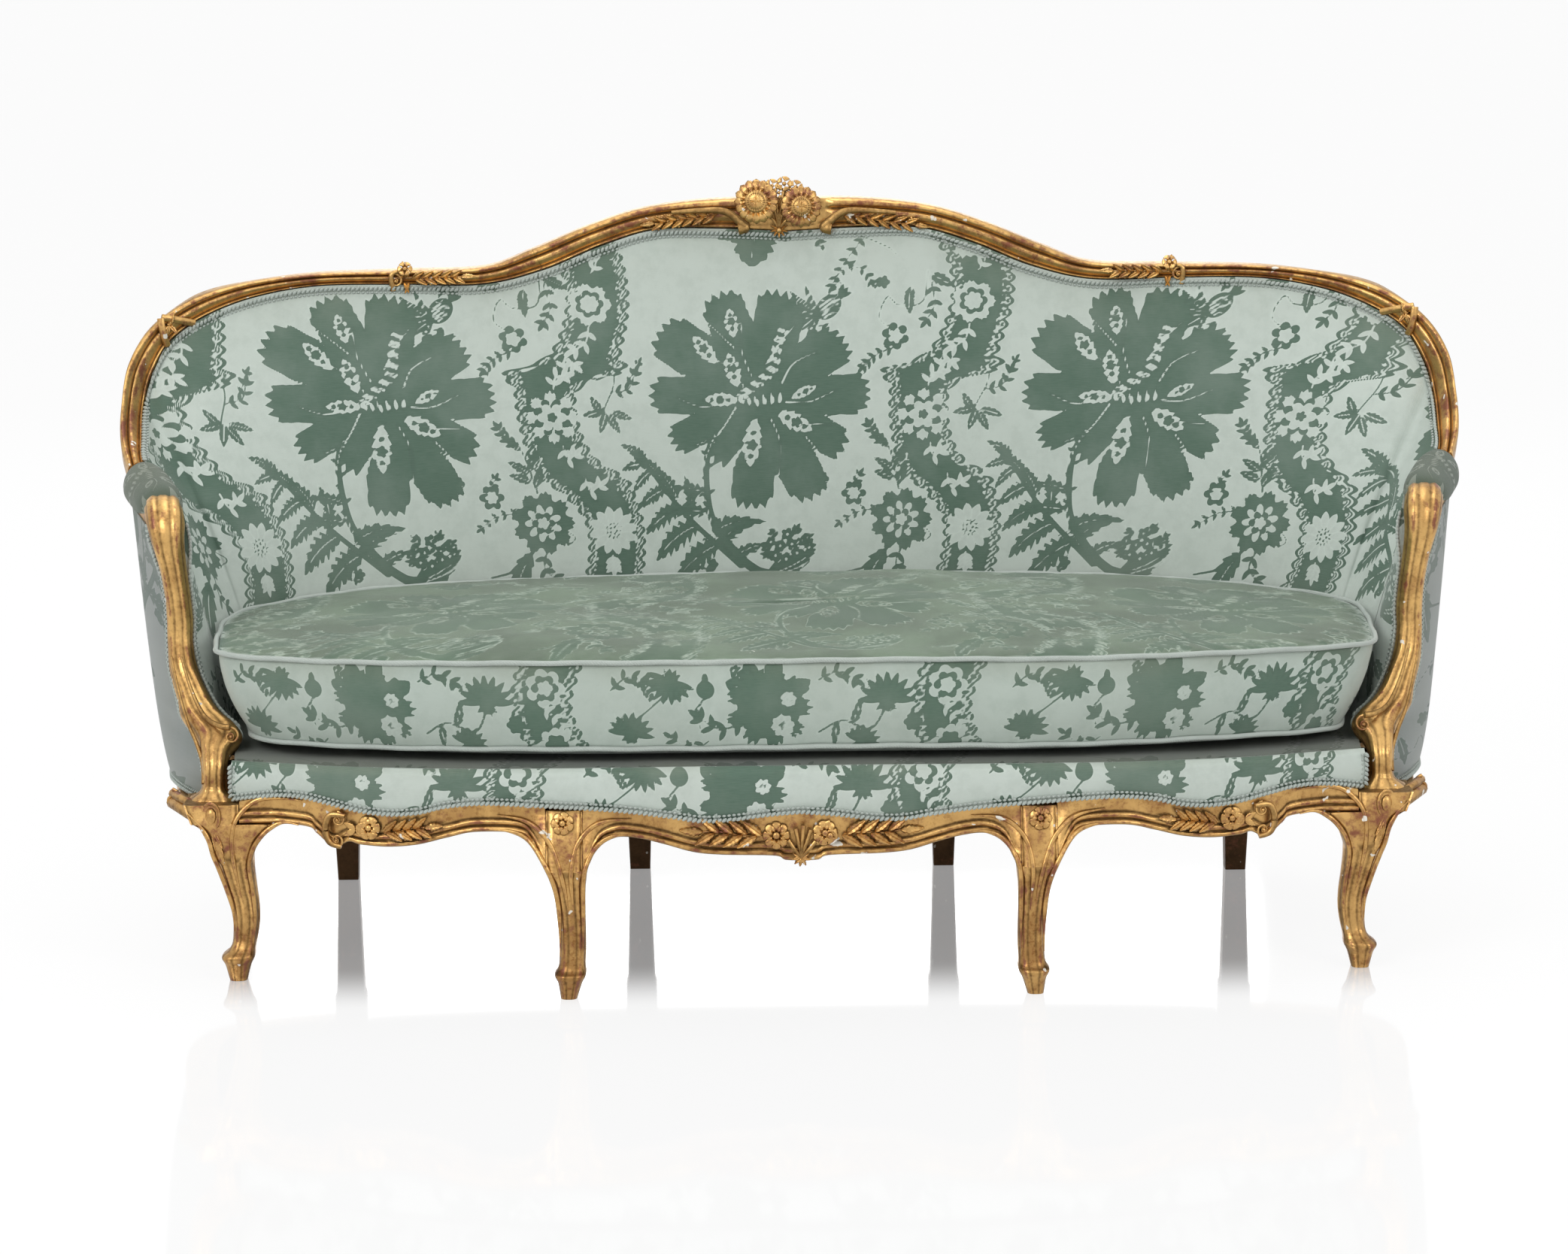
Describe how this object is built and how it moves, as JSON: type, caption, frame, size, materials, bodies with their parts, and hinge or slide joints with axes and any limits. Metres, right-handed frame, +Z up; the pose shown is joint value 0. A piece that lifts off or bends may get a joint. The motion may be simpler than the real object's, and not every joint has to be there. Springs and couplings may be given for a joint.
{
  "type": "cabriole sofa",
  "caption": "Cabriole sofa with a carved giltwood frame, a serpentine back that sweeps into padded arms, and one loose seat cushion in damask.",
  "frame": {"origin": "on the floor under the middle of the bounding box", "axes": "+X along the sofa's width, to the right as seen from the front; the sofa faces -Y; +Z up"},
  "size_m": [1.9246, 0.8038, 1.0297],
  "materials": {
    "giltwood": "leaf gold over red bole, worn, satin",
    "dark_giltwood": "darkened gilding on beech, satin",
    "beech": "bare beech, planed",
    "jute_webbing": "woven jute",
    "stuffing": "hair and hessian",
    "silk_damask": "pale grey-green damask with dark green flowers",
    "arm_pad_damask": "dark green damask",
    "cushion_damask": "olive green damask, worn on top",
    "gimp": "twisted gimp braid",
    "welt": "piping cord covered in silk",
    "dust_cloth": "black cotton",
    "tacks": "blued steel"
  },
  "bodies": {
    "frame": {"front_leg_outer_left": "giltwood", "front_leg_outer_right": "giltwood", "front_leg_inner_left": "giltwood", "front_leg_inner_right": "giltwood", "front_rail_left": "giltwood", "front_rail_center": "giltwood", "front_rail_right": "giltwood", "side_rail_left": "giltwood", "side_rail_right": "giltwood", "crest_rail": "giltwood", "shoulder_rail_left": "giltwood", "shoulder_rail_right": "giltwood", "back_stile_left": "giltwood", "back_stile_right": "giltwood", "arm_support_left": "giltwood", "arm_support_right": "giltwood", "crest_carving": "giltwood", "shoulder_clasps": "giltwood", "front_rail_carving": "giltwood", "knee_carvings": "giltwood", "rear_leg_outer_left": "dark_giltwood", "rear_leg_outer_right": "dark_giltwood", "rear_leg_inner_left": "dark_giltwood", "rear_leg_inner_right": "dark_giltwood", "rear_rail_left": "dark_giltwood", "rear_rail_center": "dark_giltwood", "rear_rail_right": "dark_giltwood", "seat_cross_rail_left": "beech", "seat_cross_rail_right": "beech", "corner_blocks": "beech", "arm_rail_left": "beech", "arm_rail_right": "beech", "back_post_inner_left": "beech", "back_post_inner_right": "beech", "back_post_outer_left": "beech", "back_post_outer_right": "beech", "lower_back_rails": "beech", "seat_webbing": "jute_webbing", "back_webbing": "jute_webbing", "seat_stuffing": "stuffing", "seat_border": "silk_damask", "back_upholstery": "silk_damask", "back_outside_cover": "silk_damask", "arm_inside_left": "silk_damask", "arm_inside_right": "silk_damask", "arm_outside_left": "silk_damask", "arm_outside_right": "silk_damask", "seat_cover": "silk_damask", "arm_pad_left": "arm_pad_damask", "arm_pad_right": "arm_pad_damask", "border_gimp": "gimp", "dust_cover": "dust_cloth", "dust_cover_tacks": "tacks"},
    "cushion": {"seat_cushion": "cushion_damask", "cushion_welt_top": "welt", "cushion_welt_bottom": "welt"}
  },
  "joints": [
    {"name": "cushion_lift", "type": "slide", "parent": "frame", "child": "cushion", "axis": [0, 0, 1], "range_m": [0, 0.4]}
  ]
}
